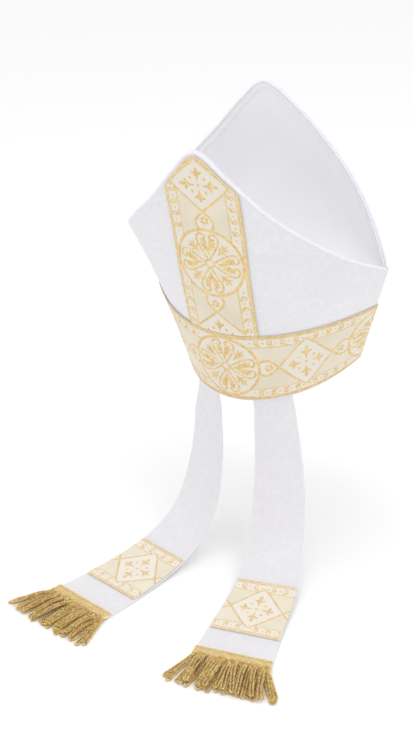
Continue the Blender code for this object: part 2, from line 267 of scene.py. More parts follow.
def natural_spline(points, steps):
    """Points on the natural cubic spline through the given ones."""
    points = np.array(points, float)
    system = np.eye(len(points))
    pull = np.zeros_like(points)
    for i in range(1, len(points) - 1):
        system[i, i - 1 : i + 2] = (1, 4, 1)
        pull[i] = 6 * (points[i + 1] - 2 * points[i] + points[i - 1])
    bends = np.linalg.solve(system, pull)
    places = np.linspace(0, len(points) - 1, steps)
    i = np.minimum(places.astype(int), len(points) - 2)
    t = (places - i)[:, None]
    s = 1 - t
    level = s * points[i] + t * points[i + 1]
    return level + (s**3 - s) * bends[i] / 6 + (t**3 - t) * bends[i + 1] / 6


def bent(z, at_rim, at_notch, at_tip):
    """A value that runs straight to the notch's height and on to the tip, its bend rounded."""
    lower = (at_notch - at_rim) / NOTCH_HEIGHT
    upper = (at_tip - at_notch) / (CROWN_HEIGHT - NOTCH_HEIGHT)
    above = z - NOTCH_HEIGHT
    value = at_notch + above * (upper if above > 0 else lower)
    if abs(above) < BEND_REACH:
        value += (upper - lower) * (BEND_REACH - abs(above)) ** 2 / (4 * BEND_REACH)
    return value


@functools.lru_cache(maxsize=None)
def half_section(half, z, out):
    """The half's section at height z, moved outward: x, depth from the seams, way along."""
    level = max(z, 0.0)
    turn = math.radians(bent(level, RIM_TURN, half.notch_turn, half.tip_turn))
    depth = bent(level, RIM_HALF_DEPTH, half.notch_depth, half.tip_depth)
    width = RIM_HALF_WIDTH + (NOTCH_HALF_WIDTH - RIM_HALF_WIDTH) * level / NOTCH_HEIGHT
    corner = math.hypot(1, width * math.cos(turn) / (depth * (1 + math.cos(turn))))
    width += out * corner
    depth += out
    angles = np.linspace(-turn, turn, SECTION_STEPS)
    x = width * np.sin(angles) / math.sin(turn)
    y = depth * (np.cos(angles) - math.cos(turn)) / (1 - math.cos(turn))
    rise = (level - NOTCH_HEIGHT) / (CROWN_HEIGHT - NOTCH_HEIGHT)
    if rise > 0:
        y += half.swell * math.sin(math.pi * rise) ** 2 * (1 - (x / width) ** 2)
    along = np.concatenate([[0], np.cumsum(np.hypot(np.diff(x), np.diff(y)))])
    return x, y, along - along[-1] / 2


def half_girth(half, z):
    return half_section(half, z, 0.0)[2][-1]


def seam_y(z):
    return SEAM_SETBACK * max(z, 0.0) / NOTCH_HEIGHT


def crown_point(half, share, z, out=0.0):
    """The point at a share of the half girth, -1 to 1, at height z, moved outward."""
    x, y, along = half_section(half, z, out)
    where = share * along[-1]
    depth = half.side * np.interp(where, along, y)
    return np.array((np.interp(where, along, x), depth + seam_y(z), z))


@functools.lru_cache(maxsize=None)
def outline_height(half, share):
    """Height of the horn's finished edge, piping and all."""
    shares = [row.share for row in EDGE]
    rises = [row[half.edge_column] for row in EDGE]
    rise = monotone_through(shares, rises, abs(share))
    return NOTCH_HEIGHT + (CROWN_HEIGHT - NOTCH_HEIGHT) * rise


@functools.lru_cache(maxsize=None)
def edge_slope(half, share):
    step = 0.01
    low, high = max(share - step, -1), min(share + step, 1)
    start = crown_point(half, low, outline_height(half, low))
    end = crown_point(half, high, outline_height(half, high))
    return (end[2] - start[2]) / math.hypot(end[0] - start[0], end[1] - start[1])


def inside_height(half, share, inset):
    """Height of a line that keeps a set distance inside the horn's finished edge."""
    return outline_height(half, share) - inset * math.hypot(1, edge_slope(half, share))


def panel_height(half, share):
    return inside_height(half, share, 2 * PIPING_RADIUS + CLEARANCE)


def lean(points):
    """From the crown's own frame to the upright one."""
    points = np.asarray(points, float)
    cosine, sine = math.cos(CROWN_LEAN), math.sin(CROWN_LEAN)
    x, y, z = points[..., 0], points[..., 1], points[..., 2]
    return np.stack([x, y * cosine + z * sine, z * cosine - y * sine], axis=-1)


def rim_face(along, offset):
    """The crown's inner face near the rim, where the left lappet is sewn, and on below it."""
    z = -along
    share = (LAPPET_OFFSET + offset) / half_girth(BACK, z)
    return lean(crown_point(BACK, share, z, -(WALL + CLEARANCE)))


@functools.lru_cache(maxsize=None)
def lappet_line():
    """The middle of the left lappet's outer face below the rim, and the way along it."""
    start = rim_face(0.0, 0.0)
    reach = np.array((LAPPET_SPREAD, LAPPET_REACH, -LAPPET_DROP))
    line = natural_spline([start + reach * np.array(row) for row in LAPPET_FALL], 161)
    return line, lengths_along(line)


def lappet_length():
    return lappet_line()[1][-1]


def lappet_width(along):
    share = min(max(along / lappet_length(), 0.0), 1.0)
    return LAPPET_TOP_WIDTH + (LAPPET_END_WIDTH - LAPPET_TOP_WIDTH) * share


def lappet_face(along, across):
    """The left lappet's outer face: along it from the rim, and -1 to 1 across it."""
    line, ways = lappet_line()
    offset = across * lappet_width(along) / 2
    sewn = rim_face(along, offset)
    if along <= 0:
        return sewn
    share = min(along / ways[-1], 1.0)
    yaw = math.radians(LAPPET_TOP_YAW + (LAPPET_END_YAW - LAPPET_TOP_YAW) * smoothstep(share))
    free = points_at(along, ways, line)
    if along > ways[-1]:
        free += (along - ways[-1]) * unit(line[-1] - line[-2])
    free += offset * np.array((math.cos(yaw), -math.sin(yaw), 0))
    return sewn + (free - sewn) * smoothstep(along / LAPPET_FLATTENS_BY)


class Surface:
    def __init__(self, us, vs, point, side=1):
        self.us, self.vs = np.asarray(us), np.asarray(vs)
        self.points = np.array([[point(u, v) for v in vs] for u in us])
        along = np.gradient(self.points, self.us, axis=0)
        over = np.gradient(self.points, self.vs, axis=1)
        self.normals = unit(np.cross(along, over) * side)

    def at(self, u, v, lift):
        u, v, lift = np.broadcast_arrays(u, v, lift)
        i, s = self.cell(u, self.us)
        j, t = self.cell(v, self.vs)
        s, t = s[..., None], t[..., None]

        def blend(grid):
            low = grid[i, j] * (1 - t) + grid[i, j + 1] * t
            high = grid[i + 1, j] * (1 - t) + grid[i + 1, j + 1] * t
            return low * (1 - s) + high * s

        return blend(self.points) + blend(self.normals) * lift[..., None]

    @staticmethod
    def cell(value, knots):
        place = np.interp(value, knots, np.arange(len(knots)))
        index = np.minimum(place.astype(int), len(knots) - 2)
        return index, place - index


@functools.lru_cache(maxsize=None)
def circlet_surface():
    """The circlet's outer face: u round from the middle of the back, v up from its middle."""
    middle = RIM_MARGIN + RIBBON_WIDTH / 2
    out = CLEARANCE + RIBBON
    behind, before = half_girth(BACK, middle), half_girth(FRONT, middle)

    def point(u, v):
        z = middle + v
        if abs(u) <= behind:
            return lean(crown_point(BACK, u / behind, z, out))
        share = 1 - (abs(u) - behind) / before
        return lean(crown_point(FRONT, math.copysign(share, u), z, out))

    end = behind + before
    us = np.linspace(-end, end, 421)
    vs = np.linspace(-RIBBON_WIDTH / 2, RIBBON_WIDTH / 2, 53)
    return Surface(us, vs, point, -1), end


@functools.lru_cache(maxsize=None)
def orphrey_surface(half):
    """An upright ribbon's outer face: u down from its tip, v across it towards +X."""
    tip = CROWN_HEIGHT - ORPHREY_TIP
    bottom = RIM_MARGIN + RIBBON_WIDTH - 0.002
    out = CLEARANCE + RIBBON

    def point(u, v):
        z = tip - u
        return lean(crown_point(half, v / half_girth(half, z), z, out))

    us = np.linspace(-0.004, tip - bottom, 160)
    vs = np.linspace(-RIBBON_WIDTH / 2, RIBBON_WIDTH / 2, 53)
    return Surface(us, vs, point, -half.side)


@functools.lru_cache(maxsize=None)
def lappet_surface(side):
    """A lappet's outer face: u along it from the rim, v across it as a share, -1 to 1."""

    def point(u, v):
        return lappet_face(u, v) * (side, 1, 1)

    us = np.linspace(-LAPPET_TUCK, lappet_length() + FRINGE_LENGTH + 0.02, 240)
    vs = np.linspace(-1.4, 1.4, 43)
    return Surface(us, vs, point, -side)


# Meshes


def add_piece(name, points, faces, material, uvs, replaces=()):
    mesh = bpy.data.meshes.new(name)
    mesh.from_pydata([tuple(map(float, point)) for point in points], [], faces)
    layer = mesh.uv_layers.new(name="cloth")
    loops = np.empty(len(mesh.loops), np.int32)
    mesh.loops.foreach_get("vertex_index", loops)
    layer.data.foreach_set("uv", np.asarray(uvs, np.float32)[loops].ravel())
    mesh.shade_smooth()
    mesh.set_sharp_from_angle(angle=math.radians(50))
    mesh.materials.append(material)
    piece = bpy.data.objects.new(name, mesh)
    bpy.context.collection.objects.link(piece)
    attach(piece, "root")
    if replaces:
        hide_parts(*replaces)
    return piece


def turn_outward(piece):
    shape = bmesh.new()
    shape.from_mesh(piece.data)
    bmesh.ops.recalc_face_normals(shape, faces=shape.faces)
    shape.to_mesh(piece.data)
    shape.free()


def chart_grid(u, v):
    """A chart's two lengths as one grid, from arrays that broadcast to its shape."""
    return np.stack(np.broadcast_arrays(u, v), axis=-1)


def shell_faces(rows, columns, ring):
    """Faces of two like grids and the walls between their borders."""

    def at(layer, row, column):
        return (layer * rows + row) * columns + column % columns

    spans = range(columns if ring else columns - 1)
    faces = []
    for row in range(rows - 1):
        for column in spans:
            corners = ((row, column), (row, column + 1), (row + 1, column + 1), (row + 1, column))
            faces.append([at(0, *corner) for corner in corners])
            faces.append([at(1, *corner) for corner in reversed(corners)])
    walls = [((row, c), (row, c + 1)) for row in (0, rows - 1) for c in spans]
    if not ring:
        walls += [((r, column), (r + 1, column)) for column in (0, columns - 1) for r in range(rows - 1)]
    return faces + [[at(0, *here), at(0, *there), at(1, *there), at(1, *here)] for here, there in walls]


def shell(name, outer, inner, chart, material, replaces=(), ring=False):
    """A sheet with thickness, from a grid of points on each face and one of its chart."""
    outer, inner, chart = np.array(outer), np.array(inner), np.array(chart)
    rows, columns = outer.shape[:2]
    points = np.concatenate([outer.reshape(-1, 3), inner.reshape(-1, 3)])
    uvs = np.concatenate([chart.reshape(-1, 2)] * 2)
    piece = add_piece(name, points, shell_faces(rows, columns, ring), material, uvs, replaces)
    turn_outward(piece)
    return piece


def add_tubes(name, lines, radii, sides, material, replaces=()):
    """One piece of round tubes along lines of points, each with one radius or a radius a point."""
    points, faces, uvs = [], [], []
    angles = np.linspace(0, 2 * math.pi, sides, endpoint=False)
    for line, radius in zip(lines, radii):
        radius = np.broadcast_to(radius, len(line))
        tangents = unit(np.gradient(line, axis=0))
        side = np.cross(tangents[0], (0.3, 0.1, 1.0))
        first = len(points)
        for centre, r, way, tangent in zip(line, radius, lengths_along(line), tangents):
            side = unit(side - tangent * np.dot(side, tangent))
            other = np.cross(tangent, side)
            for k, angle in enumerate(angles):
                points.append(centre + r * (side * math.cos(angle) + other * math.sin(angle)))
                uvs.append((way, k / sides * 2 * math.pi * r))
        for row in range(len(line) - 1):
            for k in range(sides):
                here = first + row * sides
                after = (k + 1) % sides
                faces.append([here + k, here + after, here + sides + after, here + sides + k])
        last = first + (len(line) - 1) * sides
        faces.append([first + k for k in reversed(range(sides))])
        faces.append([last + k for k in range(sides)])
    return add_piece(name, points, faces, material, uvs, replaces)


# Ornament: strokes drawn on the ribbon's chart, in metres, and raised as thread


class Stroke(NamedTuple):
    """A line on the ribbon with its full width at each point."""

    line: np.ndarray
    widths: np.ndarray


def drawn(points, width, taper=(1.0, 1.0), swell=0.0, step=0.0006):
    """A smooth stroke through points. taper sets the end widths, swell adds in the middle."""
    curve = natural_spline(points, 60)
    ways = lengths_along(curve)
    count = max(int(ways[-1] / step) + 1, 5)
    even = np.linspace(0, ways[-1], count)
    line = points_at(even, ways, curve)
    share = even / ways[-1]
    widths = width * (taper[0] + (taper[1] - taper[0]) * share + swell * np.sin(np.pi * share))
    return Stroke(line, widths)


def lobe(start, end, width, bend=0.0):
    """A leaf-like stroke, widest past its middle, that bends to its left by a share."""
    start, end = np.array(start, float), np.array(end, float)
    across = np.array((start[1] - end[1], end[0] - start[0]))
    share = np.linspace(0, 1, 9)[:, None]
    line = start + (end - start) * share + across * bend * np.sin(np.pi * share)
    profile = np.array((0.35, 0.62, 0.82, 0.95, 1.0, 0.98, 0.86, 0.6, 0.2))
    return Stroke(line, width * profile)


def ring(radius, width, centre=(0, 0), steps=96):
    angles = np.linspace(0, 2 * math.pi, steps + 1)
    line = np.stack([np.cos(angles), np.sin(angles)], axis=1) * radius + centre
    return Stroke(line, np.full(steps + 1, width))


def moved(strokes, turn=0.0, mirror=(1, 1), offset=(0, 0)):
    """The strokes mirrored, then turned, then moved."""
    cosine, sine = math.cos(turn), math.sin(turn)
    spin = np.array(((cosine, sine), (-sine, cosine)))
    return [Stroke((s.line * mirror) @ spin + offset, s.widths) for s in strokes]


def petal():
    """A heart-shaped palmette with a lobed leaf inside, pointing along +u from the middle."""
    r = RING_RADIUS
    side = ((0.15, 0.035), (0.29, 0.135), (0.47, 0.245), (0.65, 0.325), (0.79, 0.315))
    curl = ((0.872, 0.22), (0.855, 0.11), (0.79, 0.065), (0.735, 0.115))
    heart = drawn(np.array(side + curl) * r, 0.060 * r, taper=(0.95, 1.2))
    bud = lobe((0.25 * r, 0), (0.47 * r, 0), 0.105 * r)
    limb = lobe((0.36 * r, 0.02 * r), (0.78 * r, 0.10 * r), 0.125 * r, 0.06)
    teeth = (
        ((0.49, 0.05), (0.420, 0.140), 0.082),
        ((0.57, 0.07), (0.510, 0.203), 0.090),
        ((0.65, 0.08), (0.612, 0.245), 0.094),
        ((0.70, 0.08), (0.730, 0.225), 0.086),
    )
    half = [heart, limb]
    half += [lobe(np.array(a) * r, np.array(b) * r, w * r, 0.06) for a, b, w in teeth]
    return [bud] + half + moved(half, mirror=(1, -1))


def sprig():
    """A small five-fingered spray between two palmettes, pointing along +u."""
    r = RING_RADIUS
    stem = lobe((0.40 * r, 0), (0.66 * r, 0), 0.085 * r)
    tip = lobe((0.58 * r, 0), (0.845 * r, 0), 0.075 * r)
    half = [
        lobe((0.53 * r, 0.005 * r), (0.765 * r, 0.14 * r), 0.070 * r, -0.14),
        lobe((0.47 * r, 0.005 * r), (0.615 * r, 0.165 * r), 0.058 * r, -0.16),
    ]
    return [stem, tip] + half + moved(half, mirror=(1, -1))


def medallion():
    r = RING_RADIUS
    strokes = [ring(r, RING_STROKE), ring(0.118 * r, 0.062 * r, steps=32)]
    for quarter in range(4):
        strokes += moved(petal(), quarter * math.pi / 2)
        strokes += moved(sprig(), (quarter + 0.5) * math.pi / 2)
    return strokes


def flower():
    """The small hollow flower inside each loop."""
    strokes = []
    for i in range(6):
        angle = math.pi / 3 * i
        tip = np.array((math.cos(angle), math.sin(angle)))
        strokes.append(lobe(tip * 0.0016, tip * 0.0046, 0.0031))
    return strokes + [ring(0.0021, 0.0013, steps=18)]


def fleur(reach):
    """One arm of the cross in a diamond, pointing along +u from its middle."""
    stem = drawn(((0.0041, 0), (0.0076, 0), (0.0112, 0)), 0.0041, taper=(0.15, 1.0))
    tip = lobe((0.0138, 0), (reach, 0), 0.0043)
    neck = lobe((0.0086, 0), (0.0150, 0), 0.0045)
    half = [lobe((0.0090, 0.0004), (0.0134, 0.0059), 0.0036, -0.22)]
    return [stem, tip, neck] + half + moved(half, mirror=(1, -1))


def diamond():
    """A diamond with its crossed lines running on as the loops on either side."""
    ring_edge = PERIOD / 2 - RING_RADIUS
    a, b = DIAMOND_ALONG, DIAMOND_ACROSS
    edge = ((0, b), (0.30 * a, 0.735 * b), (0.65 * a, 0.355 * b), (0.90 * a, 0.085 * b), (a, 0.0))
    side = drawn(edge, 0.0023, taper=(0.85, 1.15))
    bow = (
        (a, 0.0),
        (a + 0.0034, -0.0043),
        (a + 0.0088, -0.0084),
        (ring_edge - 0.0050, -0.0091),
        (ring_edge + 0.0018, -0.0064),
    )
    loop = drawn(bow, 0.0028, taper=(0.95, 1.1))
    strokes = []
    for up in (1, -1):
        for way in (1, -1):
            strokes += moved([side, loop], mirror=(way, up))
    for quarter in range(4):
        strokes += moved(fleur(0.0204 if quarter % 2 else 0.0178), quarter * math.pi / 2)
        corner = (quarter + 0.5) * math.pi / 2
        centre = np.array((math.cos(corner), math.sin(corner))) * 0.0102
        strokes.append(lobe(centre - (0.0016, 0), centre + (0.0016, 0), 0.0031))
    strokes.append(lobe((-0.0018, 0), (0.0018, 0), 0.0033))
    middle = (a + ring_edge) / 2 - 0.0004
    for way in (1, -1):
        strokes += moved(flower(), offset=(way * middle, 0))
    return strokes


def curl():
    """One border curl, its tail towards +u and the ribbon's middle, -v."""
    angles = np.linspace(-0.3, 2 * math.pi - 0.6, 17)
    loop = np.stack([np.cos(angles), np.sin(angles)], axis=1) * 0.0019 + (-0.0004, 0.0009)
    tail = ((-0.0022, 0.0004), (-0.0016, -0.0016), (0.0008, -0.0026), (0.0040, -0.0040))
    leaf = drawn(tail, 0.0014, taper=(0.9, 0.3), swell=1.4)
    return [Stroke(loop, np.full(len(loop), 0.0014)), leaf]


def borders():
    """Curls and dots of one period, from medallion to medallion about a diamond."""
    strokes = []
    clear_of_ring = 0.0225
    for k in range(6):
        at = CURL_FIRST + k * CURL_PITCH
        if PERIOD / 2 - at > clear_of_ring:
            strokes += moved(curl(), mirror=(-1, 1), offset=(at, CURL_LINE))
        at = DOT_FIRST + k * CURL_PITCH
        if PERIOD / 2 - at > clear_of_ring - 0.003:
            strokes.append(lobe((at - 0.0011, CURL_LINE), (at + 0.0011, CURL_LINE), 0.0020))
    strokes += moved(strokes, mirror=(-1, 1))
    return strokes + moved(strokes, mirror=(1, -1))


def open_field(us, phase):
    """Which places along the field's edge lie clear of the medallions and the diamonds."""
    half_ring = math.sqrt(RING_RADIUS**2 - FIELD_EDGE**2)
    half_diamond = DIAMOND_ALONG * (1 - FIELD_EDGE / DIAMOND_ACROSS)
    from_ring = np.abs((us - phase + PERIOD / 2) % PERIOD - PERIOD / 2)
    from_diamond = np.abs((us - phase) % PERIOD - PERIOD / 2)
    return (from_ring >= half_ring) & (from_diamond >= half_diamond)


def edge_lines(low, high, phase):
    """The selvedge's two lines and the thin line beside the field, along both sides."""
    step = 0.0015
    selvedge = ((0.0010, 0.0018), (0.0032, 0.0016))
    us = np.arange(low, high + step, step)
    strokes = []
    for up in (1, -1):
        for inset, width in selvedge:
            strokes.append(Stroke(chart_grid(us, up * (RIBBON_WIDTH / 2 - inset)), np.full(len(us), width)))
        thin = Stroke(chart_grid(us, up * FIELD_EDGE), np.full(len(us), LINE_WIDTH))
        runs = clipped([thin], lambda line: open_field(line[:, 0], phase))
        strokes += [run for run in runs if len(run.line) > 2]
    return strokes


def ribbon_design(low, high, phase):
    """All strokes of a stretch of ribbon whose medallions lie at phase and every period."""
    strokes = edge_lines(low, high, phase)
    first = math.floor((low - phase) / PERIOD) - 1
    last = math.ceil((high - phase) / PERIOD) + 1
    for k in range(first, last + 1):
        strokes += moved(medallion(), offset=(phase + k * PERIOD, 0))
        here = (phase + (k + 0.5) * PERIOD, 0)
        strokes += moved(diamond(), offset=here)
        strokes += moved(borders(), offset=here)
    return strokes


def clipped(strokes, inside):
    """The stretches of the strokes that lie where inside(line) says."""
    kept = []
    for line, widths in strokes:
        good = np.concatenate([[False], inside(line), [False]])
        turns = np.flatnonzero(good[1:] != good[:-1])
        for first, last in zip(turns[::2], turns[1::2]):
            if last - first > 1:
                kept.append(Stroke(line[first:last], widths[first:last]))
    return kept


def raise_strokes(name, strokes, chart, material, relief=RELIEF, sink=SINK):
    """Builds the strokes as low rounded bands of thread on a chart(line, lift) of points."""
    profile = ((-0.5, 0.0), (-0.32, 0.8), (0.0, 1.0), (0.32, 0.8), (0.5, 0.0))
    blocks, uvs, faces = [], [], []
    total = 0
    for line, widths in strokes:
        tangents = np.gradient(line, axis=0)
        tangents /= np.maximum(np.linalg.norm(tangents, axis=1, keepdims=True), 1e-9)
        sides = np.stack([-tangents[:, 1], tangents[:, 0]], axis=1)
        ways = lengths_along(line)
        height = relief * np.minimum(1.0, widths / FULL_RELIEF_WIDTH)
        count = len(line)
        for offset, rise in profile:
            place = line + sides * widths[:, None] * offset
            blocks.append(chart(place, rise * height - (0 if rise else sink)))
            uvs.append(np.stack([ways, offset * widths], axis=1))
        for k in range(len(profile) - 1):
            for a in range(total + k * count, total + (k + 1) * count - 1):
                faces.append((a, a + 1, a + 1 + count, a + count))
        total += count * len(profile)
    return add_piece(name, np.concatenate(blocks), faces, material, np.concatenate(uvs))


# Materials


class Maker:
    """Builds one procedural cloth material."""

    def __init__(self, name, roughness, metallic=0.0, sheen=0.0, sheen_roughness=0.4, specular=0.5):
        self.material = bpy.data.materials.new(name)
        self.material.use_nodes = True
        self.tree = self.material.node_tree
        self.shader = self.tree.nodes["Principled BSDF"]
        self.set(Roughness=roughness, Metallic=metallic, Sheen_Weight=sheen,
                 Sheen_Roughness=sheen_roughness, Specular_IOR_Level=specular)

    def node(self, kind, settings=None, **inputs):
        """A new node. An input is given by name, or by its number after an underscore."""
        node = self.tree.nodes.new(kind)
        for key, value in (settings or {}).items():
            setattr(node, key, value)
        for key, value in inputs.items():
            socket = int(key[1:]) if key[0] == "_" else key.replace("_", " ")
            self.feed(node.inputs[socket], value)
        return node

    def feed(self, socket, value):
        if isinstance(value, bpy.types.NodeSocket):
            self.tree.links.new(value, socket)
        else:
            socket.default_value = value

    def uv(self):
        return self.node("ShaderNodeUVMap", {"uv_map": "cloth"}).outputs[0]

    def place(self):
        return self.node("ShaderNodeTexCoord").outputs["Object"]

    def math(self, operation, *values):
        inputs = {f"_{i}": value for i, value in enumerate(values)}
        return self.node("ShaderNodeMath", {"operation": operation}, **inputs).outputs[0]

    def add(self, a, b):
        return self.math("ADD", a, b)

    def times(self, a, b):
        return self.math("MULTIPLY", a, b)

    def most(self, a, b):
        return self.math("MAXIMUM", a, b)

    def square_sum(self, a, b):
        return self.add(self.times(a, a), self.times(b, b))

    def wave(self, length, pitch):
        """A sine wave, -1 to 1, with a pitch along a length."""
        return self.math("SINE", self.times(length, 2 * math.pi / pitch))

    def split(self, vector):
        return self.node("ShaderNodeSeparateXYZ", None, _0=vector).outputs

    def noise(self, vector, scale, detail, rough, distortion=0.0):
        node = self.node("ShaderNodeTexNoise", None, Vector=vector, Scale=scale, Detail=detail,
                         Roughness=rough, Distortion=distortion)
        return node.outputs["Fac"]

    def ramp(self, value, low, high, out_low=0.0, out_high=1.0):
        node = self.node("ShaderNodeMapRange", {"clamp": True}, _0=value, _1=low, _2=high,
                         _3=out_low, _4=out_high)
        return node.outputs[0]

    def tone(self, vector, scale):
        """Soft changes of tone, 0 to 1."""
        return self.ramp(self.noise(vector, scale, 2, 0.5), 0.3, 0.7)

    def mix(self, factor, a, b):
        return self.node("ShaderNodeMix", {"data_type": "RGBA"}, _0=factor, _6=a, _7=b).outputs[2]

    # painted_light raises both ends of the range, for a copy drawn lighter where more light falls.
    def shade(self, factor, shades, painted_light=0):
        return self.mix(factor, rgb(shades.dark, painted_light), rgb(shades.light, painted_light))

    def bump(self, height, strength, distance, under=None):
        node = self.node("ShaderNodeBump", None, Strength=strength, Distance=distance, Height=height)
        if under is not None:
            self.feed(node.inputs["Normal"], under)
        return node.outputs[0]

    def set(self, **sockets):
        for key, value in sockets.items():
            self.feed(self.shader.inputs[key.replace("_", " ")], value)
        return self.material


def rgb(colour, painted_light=0):
    """A colour from its display values, 0 to 255, each raised by an amount of painted light."""

    def linear(value):
        value = (value + painted_light) / 255
        return value / 12.92 if value <= 0.04045 else ((value + 0.055) / 1.055) ** 2.4

    return (*map(linear, colour), 1)


def weave(maker, vector, pitch, slant):
    """A fine cross weave: its height, 0 to 1."""
    x, y, _ = maker.split(vector)
    lean_over = maker.add(x, maker.times(y, slant))
    return maker.ramp(maker.times(maker.wave(lean_over, pitch), maker.wave(y, pitch)), -1, 1)


def damask_white():
    """White satin damask: fine scrolls that barely show, over a dense twill."""
    maker = Maker("white_damask_cloth", 0.5, sheen=0.2, sheen_roughness=0.35, specular=0.4)
    uv = maker.uv()
    bend = maker.noise(uv, 34, 1, 0.5)
    cells = maker.node("ShaderNodeTexVoronoi", {"feature": "F1"}, Vector=uv, Scale=34,
                       Randomness=0.75).outputs["Distance"]
    turns = maker.add(maker.times(cells, 26.0), maker.times(bend, 16.0))
    scroll = maker.ramp(maker.math("SINE", turns), 0.86, 0.99)
    vine = maker.node("ShaderNodeTexWave", {"wave_type": "BANDS", "bands_direction": "DIAGONAL"},
                      Vector=uv, Scale=12.0, Distortion=22.0, Detail=2.0, Detail_Scale=1.6)
    stem = maker.ramp(vine.outputs["Fac"], 0.92, 0.99)
    leaf = maker.ramp(maker.noise(uv, 120, 2, 0.6, 1.2), 0.56, 0.62)
    motif = maker.most(maker.most(scroll, stem), maker.times(leaf, 0.5))
    ground = maker.shade(maker.tone(uv, 9), DAMASK_GROUND)
    colour = maker.mix(maker.times(motif, 0.24), ground, rgb(DAMASK_FIGURE))
    height = maker.add(maker.times(weave(maker, uv, WEAVE_PITCH, 0.5), 0.35), motif)
    normal = maker.bump(height, 0.25, 0.0001)
    drape = maker.bump(maker.noise(uv, 20, 1, 0.4), 0.2, 0.0012, normal)
    return maker.set(Base_Color=colour, Roughness=maker.ramp(motif, 0, 1, 0.55, 0.42), Normal=drape)


def satin_white():
    maker = Maker("white_satin_cloth", 0.42, sheen=0.2, sheen_roughness=0.3, specular=0.45)
    uv = maker.uv()
    normal = maker.bump(weave(maker, uv, SATIN_PITCH, 0.9), 0.15, 0.00008)
    soft = maker.bump(maker.noise(uv, 14, 1, 0.4), 0.3, 0.0018, normal)
    return maker.set(Base_Color=maker.shade(maker.tone(uv, 12), SATIN), Normal=soft)


def piping_white():
    maker = Maker("white_piping_cloth", 0.45, sheen=0.3, specular=0.4)
    uv = maker.uv()
    normal = maker.bump(weave(maker, uv, WEAVE_PITCH, 1.0), 0.3, 0.0001)
    return maker.set(Base_Color=maker.shade(maker.tone(uv, 160), PIPING), Normal=normal)


def ribbon_cloth(name, phase, painted_light=0):
    """Cream ribbon: darker satin in the fields, lighter twill inside the figures and borders."""
    maker = Maker(name, 0.42, sheen=0.15, sheen_roughness=0.3)
    uv = maker.uv()
    u, v, _ = maker.split(uv)
    height = maker.math("ABSOLUTE", v)
    from_middle = maker.math("WRAP", maker.math("SUBTRACT", u, phase), PERIOD / 2, -PERIOD / 2)
    from_ring = maker.math("ABSOLUTE", from_middle)
    in_ring = maker.math("LESS_THAN", maker.square_sum(from_ring, height), RING_RADIUS**2)
    from_diamond = maker.math("SUBTRACT", PERIOD / 2, from_ring)
    reach = maker.add(maker.math("DIVIDE", from_diamond, DIAMOND_ALONG),
                      maker.math("DIVIDE", height, DIAMOND_ACROSS))
    in_diamond = maker.math("LESS_THAN", reach, 1.0)
    loop_middle = (PERIOD / 2 - RING_RADIUS + DIAMOND_ALONG) / 2 + 0.0006
    along = maker.math("DIVIDE", maker.math("SUBTRACT", from_diamond, loop_middle), 0.0100)
    over = maker.math("DIVIDE", height, 0.0086)
    in_loop = maker.math("LESS_THAN", maker.square_sum(along, over), 1.0)
    in_border = maker.math("GREATER_THAN", height, FIELD_EDGE)
    figure = maker.most(maker.most(in_ring, in_diamond), maker.most(in_loop, in_border))
    twill = maker.ramp(maker.wave(maker.add(u, v), TWILL_PITCH), -1, 1)
    # painted_light draws the whole cloth lighter, as painted light where more light falls.
    field = maker.shade(maker.tone(uv, 28), RIBBON_FIELD, painted_light)
    colour = maker.mix(figure, field, maker.shade(twill, RIBBON_FIGURE, painted_light))
    speck = maker.ramp(maker.noise(uv, 900, 2, 0.6), 0.35, 0.65)
    colour = maker.mix(maker.times(speck, 0.10), colour, rgb(RIBBON_SPECK))
    ribs = maker.ramp(maker.wave(u, RIB_PITCH), -1, 1)
    relief = maker.add(maker.times(figure, maker.times(twill, 0.9)), maker.times(ribs, 0.3))
    normal = maker.bump(relief, 0.4, 0.0001)
    rough = maker.ramp(figure, 0, 1, 0.40, 0.55)
    return maker.set(Base_Color=colour, Roughness=rough, Normal=normal)


def gold_thread(name, shades):
    """Metal-wrapped thread: short stitches across the stroke, mottled lighter and darker; the lighter
    mottling paints the glitter of the metal.
    """
    maker = Maker(name, 0.4, metallic=0.32)
    place = maker.place()
    stitch = maker.wave(maker.split(maker.uv())[0], STITCHED_PITCH)
    # Painted glitter: the lighter mottling stands for glints on the metal thread.
    fine = maker.noise(place, 1500, 2, 0.7)
    broad = maker.noise(place, 220, 2, 0.6)
    painted_glitter_mottle = maker.add(maker.times(fine, 0.55), maker.times(broad, 0.45))
    tone = maker.ramp(maker.add(maker.times(stitch, 0.10), painted_glitter_mottle), 0.37, 0.63)
    height = maker.add(stitch, maker.times(fine, 1.5))
    return maker.set(Base_Color=maker.shade(tone, shades), Normal=maker.bump(height, 0.5, 0.00012))


def bullion_gold(name, shades, metallic):
    """Wound metal thread: fine turns round each ply, mottled with painted highlight and painted shade, and
    painted glints.
    """
    maker = Maker(name, 0.32, metallic=metallic, specular=0.4)
    place = maker.place()
    wrap = maker.wave(maker.split(maker.uv())[0], WOUND_PITCH)
    fine = maker.noise(place, 1300, 2, 0.7)
    broad = maker.noise(place, 260, 2, 0.6)
    # Painted light: this mottling paints the highlights on the cords and the shade between them; the glints
    # below are painted highlights.
    highlight_and_shade_mottle = maker.add(maker.times(fine, 0.6), maker.times(broad, 0.4))
    colour = maker.shade(maker.ramp(highlight_and_shade_mottle, 0.36, 0.62), shades)
    glint = maker.ramp(maker.noise(place, 620, 1, 0.5), 0.57, 0.63)
    colour = maker.mix(maker.times(glint, 0.75), colour, rgb(GLINT))
    height = maker.add(wrap, maker.times(fine, 1.5))
    return maker.set(Base_Color=colour, Normal=maker.bump(height, 0.7, 0.00018))


# Pieces


def spread(count, power=1.0):
    """Shares from -1 to 1, closer together near the middle as power grows."""
    line = np.linspace(-1, 1, count)
    return np.sign(line) * np.abs(line) ** power


